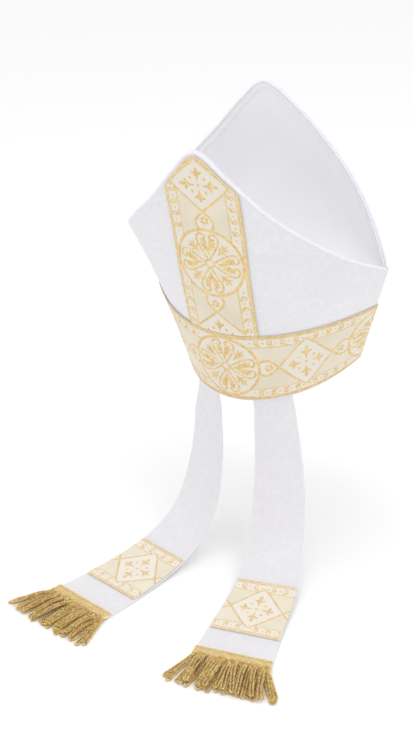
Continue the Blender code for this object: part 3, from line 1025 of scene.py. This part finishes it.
def horn_panel(name, half, material):
    """Half of the crown, from the rim up to the point of its horn."""
    shares = spread(121, 1.15)
    tops = [inside_height(half, share, 1.5 * PIPING_RADIUS) for share in shares]
    places = [[(s, level * top) for s, top in zip(shares, tops)] for level in np.linspace(0, 1, 74)]

    def face(out):
        return lean([[crown_point(half, s, z, out) for s, z in row] for row in places])

    chart = [[(s * half_girth(half, z), z) for s, z in row] for row in places]
    shell(name + "_cloth", face(0.0), face(-WALL), chart, material, (name,))


def fold_height(share):
    """Height of the fold between the horns, lowest in the middle."""
    ends = min(panel_height(BACK, 1), panel_height(FRONT, 1)) - LINING
    return ends - LINING_SAG * (1 - share * share)


def lining_point(half, share, way, out, lift):
    """A point of the lining, on its way from the horn's edge, 0, down to the fold, 1."""
    top = inside_height(half, share, 0.0018)
    fold = fold_height(share)
    z = top + (fold - top) * way
    point = crown_point(half, share, z, out)
    crossing = way**LINING_HUG
    point[1] += crossing * (seam_y(z) - point[1])
    point[2] += crossing * lift
    return point


def crown_lining(material):
    """Satin down the inside of one horn, through the fold and up the other."""
    ways = np.linspace(0, 1, 54)
    shares = spread(101, 1.1) * 0.995

    def face(out, lift):
        back = [[lining_point(BACK, s, way, out, lift) for s in shares] for way in ways]
        front = [[lining_point(FRONT, s, way, out, lift) for s in shares] for way in ways]
        return lean(back + front[-2::-1])

    outer = -(WALL + CLEARANCE)
    rows = np.arange(2 * len(ways) - 1)[:, None]
    chart = chart_grid(shares * LINING_CHART_HALF, rows * LINING_CHART_ROW)
    shell("lining_satin", face(outer, 0.0), face(outer - LINING, 1.2 * LINING), chart, material,
          ("crown_lining",))


def ribbon_bevel(vs, power):
    """The lift of the ribbon's face at each place across it: it drops only near its two edges."""
    return -RIBBON * 0.4 * np.abs(vs / vs[-1]) ** power


def circlet(ribbon, gold):
    """The band round the head. Past one repeat from the back its pattern is drawn in a little, so
    that a whole medallion stands at the middle of the front too."""
    surface, end = circlet_surface()
    woven = np.array((-2, -1, 1, 2)) * PERIOD
    laid = np.array((-end, -PERIOD, PERIOD, end))
    us = np.linspace(-end, end, 361)[:-1]
    vs = np.linspace(-RIBBON_WIDTH / 2, RIBBON_WIDTH / 2, 25)[:, None]
    shell("circlet_ribbon", surface.at(us, vs, ribbon_bevel(vs, 30)), surface.at(us, vs, -RIBBON),
          chart_grid(np.interp(us, laid, woven), vs), ribbon, ("circlet_band",), ring=True)
    strokes = clipped(ribbon_design(-2 * PERIOD, 2 * PERIOD, 0.0),
                      lambda line: np.abs(line[:, 0]) <= 2 * PERIOD)

    def chart_to_place(line, lift):
        return surface.at(np.interp(line[:, 0], woven, laid), line[:, 1], lift)

    raise_strokes("circlet_gold", strokes, chart_to_place, gold)


def orphrey_cut(half, offset, inset):
    """Height where the upright ribbon, at a distance from its middle, ends at the horn's edge."""
    low, high = NOTCH_HEIGHT, CROWN_HEIGHT
    for _ in range(24):
        z = (low + high) / 2
        if z < inside_height(half, offset / half_girth(half, z), inset):
            low = z
        else:
            high = z
    return low


def orphrey(name, half, ribbon, gold):
    """An upright ribbon, cut to the horn's edge, with a line of gold along the cut."""
    surface = orphrey_surface(half)
    tip = CROWN_HEIGHT - ORPHREY_TIP
    bottom = tip - (RIM_MARGIN + RIBBON_WIDTH + CLEARANCE)
    vs = np.linspace(-RIBBON_WIDTH / 2, RIBBON_WIDTH / 2, 41)
    tops = np.array([tip - orphrey_cut(half, v, ORPHREY_INSET) for v in vs])
    rows = tops + (bottom - tops) * np.linspace(0, 1, 90)[:, None]
    shell(name + "_ribbon", surface.at(rows, vs, ribbon_bevel(vs, 50)), surface.at(rows, vs, -RIBBON),
          chart_grid(rows, vs), ribbon, (name,))

    def inside(line):
        top = np.interp(line[:, 1], vs, tops) + 0.0004
        return (line[:, 0] >= top) & (line[:, 0] <= bottom)

    strokes = clipped(ribbon_design(-0.02, bottom, UPRIGHT_PHASE), inside)
    cut = np.stack([tops + 0.0012 * np.hypot(1, np.gradient(tops, vs)), vs], axis=1)[1:-1]
    strokes.append(Stroke(cut, np.full(len(cut), 0.0019)))
    raise_strokes(name + "_gold", strokes, lambda line, lift: surface.at(*line.T, lift), gold)


def edge_run(half, inset, out, end_gap):
    """Points along a horn from notch to notch, at a distance inside its finished edge."""
    end = 1 - end_gap / half_girth(half, NOTCH_HEIGHT)
    shares = spread(221, 1.25) * end
    return lean([crown_point(half, s, inside_height(half, s, inset), out) for s in shares])


def piping(name, half, cord):
    """The rolled edge, with the lining's turned edge as a second, finer line inside it."""
    roll = edge_run(half, PIPING_RADIUS, -WALL / 2, 1.1 * PIPING_RADIUS)
    add_tubes(name + "_roll", [roll], [PIPING_RADIUS], 12, cord, (name,))
    fold = edge_run(half, FOLD_RADIUS, -(WALL + CLEARANCE + LINING * 0.7), 0.0012)
    add_tubes(name + "_roll_fold", [fold], [FOLD_RADIUS], 8, cord)


def inner_hem(name, half, satin):
    """The turned hem that follows the horn's edge on its inside."""
    out = -(WALL + CLEARANCE + LINING)
    shares = spread(161, 1.2) * 0.985
    insets = np.linspace(*HEM_INSETS, len(HEM_LIFTS))

    def run(inset, lift):
        return [crown_point(half, s, inside_height(half, s, inset), out - lift) for s in shares]

    points = lean([run(inset, lift) for inset, lift in zip(insets, HEM_LIFTS)]).reshape(-1, 3)
    rows, columns = len(insets), len(shares)
    corners = (0, 1, columns + 1, columns)
    faces = [[r * columns + c + k for k in corners] for r in range(rows - 1) for c in range(columns - 1)]
    uvs = chart_grid(shares * LINING_CHART_HALF, insets[:, None]).reshape(-1, 2)
    add_piece(name, points, faces, satin, uvs)


def stitches(name, half, cord):
    """The row of short thread stitches that holds a horn's hem."""
    line = edge_run(half, STITCH_INSET, -(WALL + CLEARANCE + LINING + 0.0004), 0.012)
    ways = lengths_along(line)
    hump = np.sin(np.linspace(0, math.pi, 6))
    rise = np.outer(hump * STITCH_RADIUS * 0.8, (0, -half.side, 0))
    starts = np.arange(0, ways[-1] - STITCH_LENGTH, STITCH_LENGTH + STITCH_GAP)
    spots = [np.linspace(start, start + STITCH_LENGTH, 6) for start in starts]
    lines = [points_at(spot, ways, line) + rise for spot in spots]
    radii = [STITCH_RADIUS * (0.45 + 0.55 * hump)] * len(lines)
    add_tubes(name, lines, radii, 6, cord)


def lappet(hand, side, damask, cord):
    """A lappet's cloth with a fine rolled edge along both sides."""
    surface = lappet_surface(side)
    us = np.linspace(-LAPPET_TUCK, lappet_length() + FRINGE_OVERLAP, 150)[:, None]
    vs = np.linspace(-1, 1, 33)
    halves = np.array([[lappet_width(float(u)) / 2] for u in us[:, 0]])
    cloth = shell(hand + "_lappet_cloth", surface.at(us, vs, 0.0), surface.at(us, vs, -LAPPET),
                  chart_grid(vs * halves, us), damask, (hand + "_lappet",))
    reach = 1 - LAPPET_EDGE_INSET / (lappet_width(0.2) / 2)
    run = np.linspace(-LAPPET_TUCK + 0.001, lappet_length() - 0.0005, 200)
    lines = [surface.at(run, edge * reach, -LAPPET / 2) for edge in (-1, 1)]
    hem = add_tubes(hand + "_lappet_edge", lines, [LAPPET_EDGE_RADIUS] * 2, 8, cord)
    return cloth, hem


def patch(hand, side, ribbon, gold):
    """The square of ribbon across the lappet; its figures run across, its borders along."""
    surface = lappet_surface(side)
    middle = lappet_length() - PATCH_ABOVE_FRINGE - RIBBON_WIDTH / 2

    def half_width(along):
        return np.interp(along, (0.0, lappet_length()), (LAPPET_TOP_WIDTH, LAPPET_END_WIDTH)) / 2

    def to_surface(line, lift):
        along = middle + line[..., 1]
        return surface.at(along, line[..., 0] / half_width(along), CLEARANCE + RIBBON + lift)

    def inside(line):
        return np.abs(line[:, 0]) <= half_width(middle + line[:, 1]) - PATCH_SIDE_MARGIN

    vs = np.linspace(-RIBBON_WIDTH / 2, RIBBON_WIDTH / 2, 41)[:, None]
    grid = chart_grid(np.linspace(-1, 1, 31) * (half_width(middle + vs) - PATCH_SIDE_MARGIN), vs)
    piece = shell(hand + "_patch_ribbon", to_surface(grid, ribbon_bevel(vs, 30)), to_surface(grid, -RIBBON),
                  grid, ribbon, (hand + "_patch",))
    reach = LAPPET_END_WIDTH / 2
    strokes = clipped(ribbon_design(-reach, reach, PERIOD / 2), inside)
    return piece, raise_strokes(hand + "_patch_gold", strokes, to_surface, gold)


def twisted(path, ply, pitch, phase, steps):
    """Two plies wound round each other along a path of points, and the radii of both."""
    ways = lengths_along(path)
    spots = np.linspace(0, ways[-1], int(ways[-1] / pitch * steps) + 4)
    line = points_at(spots, ways, path)
    tangents = unit(np.gradient(line, axis=0))
    side = unit(np.cross(tangents, (0.0, 0.0, 1.0)))
    rise = np.cross(side, tangents)
    angle = (spots / pitch * 2 * math.pi + phase)[:, None]
    wound = (side * np.cos(angle) + rise * np.sin(angle)) * ply * 0.95
    return [line + wound, line - wound], [np.full(len(line), ply)] * 2


def fringe(hand, side, bullion, seed):
    """Looped cords of bullion in three loose layers, and four that stray out at the sides."""
    surface = lappet_surface(side)
    rng = random.Random(seed)
    start = lappet_length() + FRINGE_HEAD_LENGTH - 0.002
    half = LAPPET_END_WIDTH / 2
    sweeps = [rng.gauss(0, 1) for _ in range(7)]
    share = np.linspace(0, 1, 20)
    lines, radii = [], []

    def cord(place, reach, splay, sway, rest, hump):
        """The middle of one cord from the head down, as chart places and lifts."""
        sweep = np.interp(place * 3 + 3, np.arange(7), sweeps)
        across = place * 0.975 + (splay + 0.06 * sweep) * share**1.4 + sway * np.sin(share * math.pi)
        top = CLEARANCE + 0.0014
        settle = np.clip(share * 2.6, 0, 1)
        settle = settle * settle * (3 - 2 * settle)
        lift = top + (rest - top) * settle + hump * np.sin(share * math.pi) ** 2
        return start + reach * share, across, lift

    def loop(place, gap, reach, splay, sway, rest, hump):
        """A cord down, round a small bow and back up beside itself."""
        u, v, w = cord(place, reach, splay, sway, rest, hump)
        turn = np.linspace(0, math.pi, 9)[1:-1]
        half_gap = gap / 2 / half
        apart = half_gap * np.clip(share * 3, 0.55, 1)
        along = np.concatenate([u, u[-1] + gap * 0.6 * np.sin(turn), u[::-1]])
        across = np.concatenate([v - apart, v[-1] - np.cos(turn) * half_gap, (v + apart)[::-1]])
        lifts = np.concatenate([w, np.full(len(turn), w[-1]), w[::-1]])
        path = surface.at(along, across, lifts)
        path[:, 2] = np.maximum(path[:, 2], TABLE_HEIGHT + 1.95 * CORD_PLY)
        pitch = CORD_PITCH * rng.uniform(0.92, 1.1)
        plies, sizes = twisted(natural_spline(path[::2], 90), CORD_PLY, pitch, rng.uniform(0, 6), 8)
        lines.extend(plies)
        radii.extend(sizes)

    long = FRINGE_LENGTH + 0.003 - FRINGE_HEAD_LENGTH
    for layer, count in enumerate(CORDS_IN_LAYER):
        for i in range(count):
            place = -0.95 + 1.9 * (i + 0.5 + rng.uniform(-0.3, 0.3)) / count
            reach = long * rng.uniform(0.90, 1.03) * (1 - 0.02 * layer)
            splay = 0.19 * place + rng.gauss(0, 0.06 + 0.025 * layer)
            rest = -LAPPET + CORD_PLY * (2 + 2.6 * layer) + rng.uniform(0, 0.0006)
            hump = rng.uniform(0.0, 0.0016) * (1 + layer)
            loop(place, rng.uniform(0.0026, 0.0034), reach, splay, rng.gauss(0, 0.02), rest, hump)
    for edge, lean_out, length in STRAYS:
        rest = -LAPPET + 2 * CORD_PLY
        loop(0.96 * edge, 0.0030, long * length, lean_out * edge, 0.03 * edge, rest, 0.0004)
    return add_tubes(hand + "_fringe_strands", lines, radii, 5, bullion, (hand + "_fringe",))


def braid(hand, side, woven):
    """The fringe's flat woven head: a slab crossed by slanting threads and edged with cords."""
    surface = lappet_surface(side)
    half = LAPPET_END_WIDTH / 2
    start = lappet_length()
    end = start + FRINGE_HEAD_LENGTH
    us = np.linspace(start, end, 9)[:, None]
    vs = np.linspace(-1, 1, 49)
    high = CLEARANCE + FRINGE_HEAD_THICKNESS * 0.62
    slab = shell(hand + "_fringe_head", surface.at(us, vs, high), surface.at(us, vs, CLEARANCE),
                 chart_grid(vs * half, us), woven)

    def to_surface(line, lift):
        return surface.at(line[:, 0], line[:, 1] / half, high + lift)

    strokes = []
    middle = (start + end) / 2
    for i in range(int(2 * half / BRAID_THREAD_PITCH)):
        v = -half + (i + 0.5) * BRAID_THREAD_PITCH
        for sign in (1, -1):
            thread = ((middle, v), (middle + sign * 0.0018, v + 0.0008), (middle + sign * 0.0034, v + 0.0010))
            strokes.append(drawn(thread, 0.0012, taper=(0.9, 0.8)))
    threads = raise_strokes(hand + "_fringe_threads", strokes, to_surface, woven,
                            relief=0.0006, sink=0.0002)
    lines, radii = [], []
    bumps = np.arange(260)
    for u, reach in ((start - 0.0003, 0.0010), (end - 0.0010, 0.0003)):
        zigzag = reach * np.sin(bumps * 2 * math.pi / 9.4)
        path = surface.at(u + zigzag, np.linspace(-1, 1, len(bumps)), high + 0.0001)
        plies, sizes = twisted(path, BRAID_PLY, BRAID_PLY_PITCH, 0.0, 6)
        lines += plies
        radii += sizes
    cords = add_tubes(hand + "_fringe_cords", lines, radii, 6, woven)
    return slab, threads, cords


# The picture


def studio():
    """A plain pale floor, a soft bright room and three softboxes."""
    mesh = bpy.data.meshes.new("floor")
    size = 12.0
    corners = ((-size, -size), (size, -size), (size, size), (-size, size))
    mesh.from_pydata([(x, y, TABLE_HEIGHT - 0.0002) for x, y in corners], [], [(0, 1, 2, 3)])
    floor = bpy.data.objects.new("floor", mesh)
    bpy.context.collection.objects.link(floor)
    material = bpy.data.materials.new("floor_paper")
    material.use_nodes = True
    shader = material.node_tree.nodes["Principled BSDF"]
    shader.inputs["Base Color"].default_value = (0.985, 0.985, 0.985, 1)
    shader.inputs["Roughness"].default_value = 0.9
    mesh.materials.append(material)
    world = bpy.context.scene.world or bpy.data.worlds.new("room")
    bpy.context.scene.world = world
    world.use_nodes = True
    background = world.node_tree.nodes["Background"]
    background.inputs["Color"].default_value = (1.0, 1.0, 1.0, 1)
    background.inputs["Strength"].default_value = 0.95
    softbox("key", place=(-1.6, 0.6, 2.2), size=1.2, power=9)
    softbox("fill", place=(1.3, 1.6, 1.0), size=1.4, power=1.2)
    softbox("top", place=(0.1, 0.5, 2.3), size=1.2, power=6.5)
    bpy.context.scene.view_settings.view_transform = "Standard"


def softbox(name, place, size, power):
    light = bpy.data.lights.new(name, "AREA")
    light.shape = "SQUARE"
    light.size = size
    light.energy = power
    lamp = bpy.data.objects.new(name, light)
    lamp.location = place
    aim = Vector((0, 0.03, 0)) - Vector(place)
    lamp.rotation_euler = aim.to_track_quat("-Z", "Y").to_euler()
    bpy.context.collection.objects.link(lamp)


def camera():
    azimuth, elevation, roll = map(math.radians, (CAMERA_AZIMUTH, CAMERA_ELEVATION, CAMERA_ROLL))
    level = math.cos(elevation)
    back = Vector((math.sin(azimuth) * level, -math.cos(azimuth) * level, math.sin(elevation)))
    right = (-back).cross(Vector((0, 0, 1))).normalized()
    up = right.cross(-back)
    place = right * CAMERA_RIGHT + up * CAMERA_UP + back * CAMERA_DISTANCE
    axis_x = right * math.cos(roll) + up * math.sin(roll)
    axis_y = up * math.cos(roll) - right * math.sin(roll)
    turn = Matrix((axis_x, axis_y, back)).transposed().to_4x4()
    lens = bpy.data.cameras.new("camera")
    lens.sensor_fit = "VERTICAL"
    lens.sensor_height = SENSOR
    lens.lens = CAMERA_LENS
    lens.clip_end = 50
    eye = bpy.data.objects.new("camera", lens)
    eye.matrix_world = Matrix.Translation(place) @ turn
    bpy.context.collection.objects.link(eye)
    bpy.context.scene.camera = eye


TABLE_HEIGHT = float(lappet_line()[0][-1][2]) - LAPPET


def main():
    camera()
    studio()
    damask = damask_white()
    satin = satin_white()
    cord = piping_white()
    gold = gold_thread("gold_thread", GOLD)
    # The patches' gold: the same thread drawn paler, as painted highlight.
    gold_painted_lighter = gold_thread("pale_gold_thread", GOLD_PAINTED_LIGHTER)
    bullion = bullion_gold("bullion_thread", BULLION, 0.55)
    woven = bullion_gold("braid_thread", BRAID, 0.25)
    upright = ribbon_cloth("upright_cloth", UPRIGHT_PHASE)
    # The patches' ribbon: the same cloth drawn lighter, as painted light.
    across = ribbon_cloth("patch_cloth_painted_lighter", PERIOD / 2, PATCH_PAINTED_LIGHT)
    crown_lining(satin)
    circlet(ribbon_cloth("circlet_cloth", 0.0), gold)
    for name, half in (("back", BACK), ("front", FRONT)):
        horn_panel(name + "_panel", half, damask)
        orphrey(name + "_orphrey", half, upright, gold)
        piping(name + "_piping", half, cord)
        inner_hem(name + "_hem", half, satin)
        stitches(name + "_stitches", half, cord)
    for seed, (hand, side) in enumerate((("left", 1), ("right", -1))):
        cloth, hem = lappet(hand, side, damask, cord)
        pieces = [hem, *patch(hand, side, across, gold_painted_lighter)]
        pieces += [fringe(hand, side, bullion, seed + 3), *braid(hand, side, woven)]
        length = lappet_length() + LAPPET_TUCK + FRINGE_OVERLAP


main()
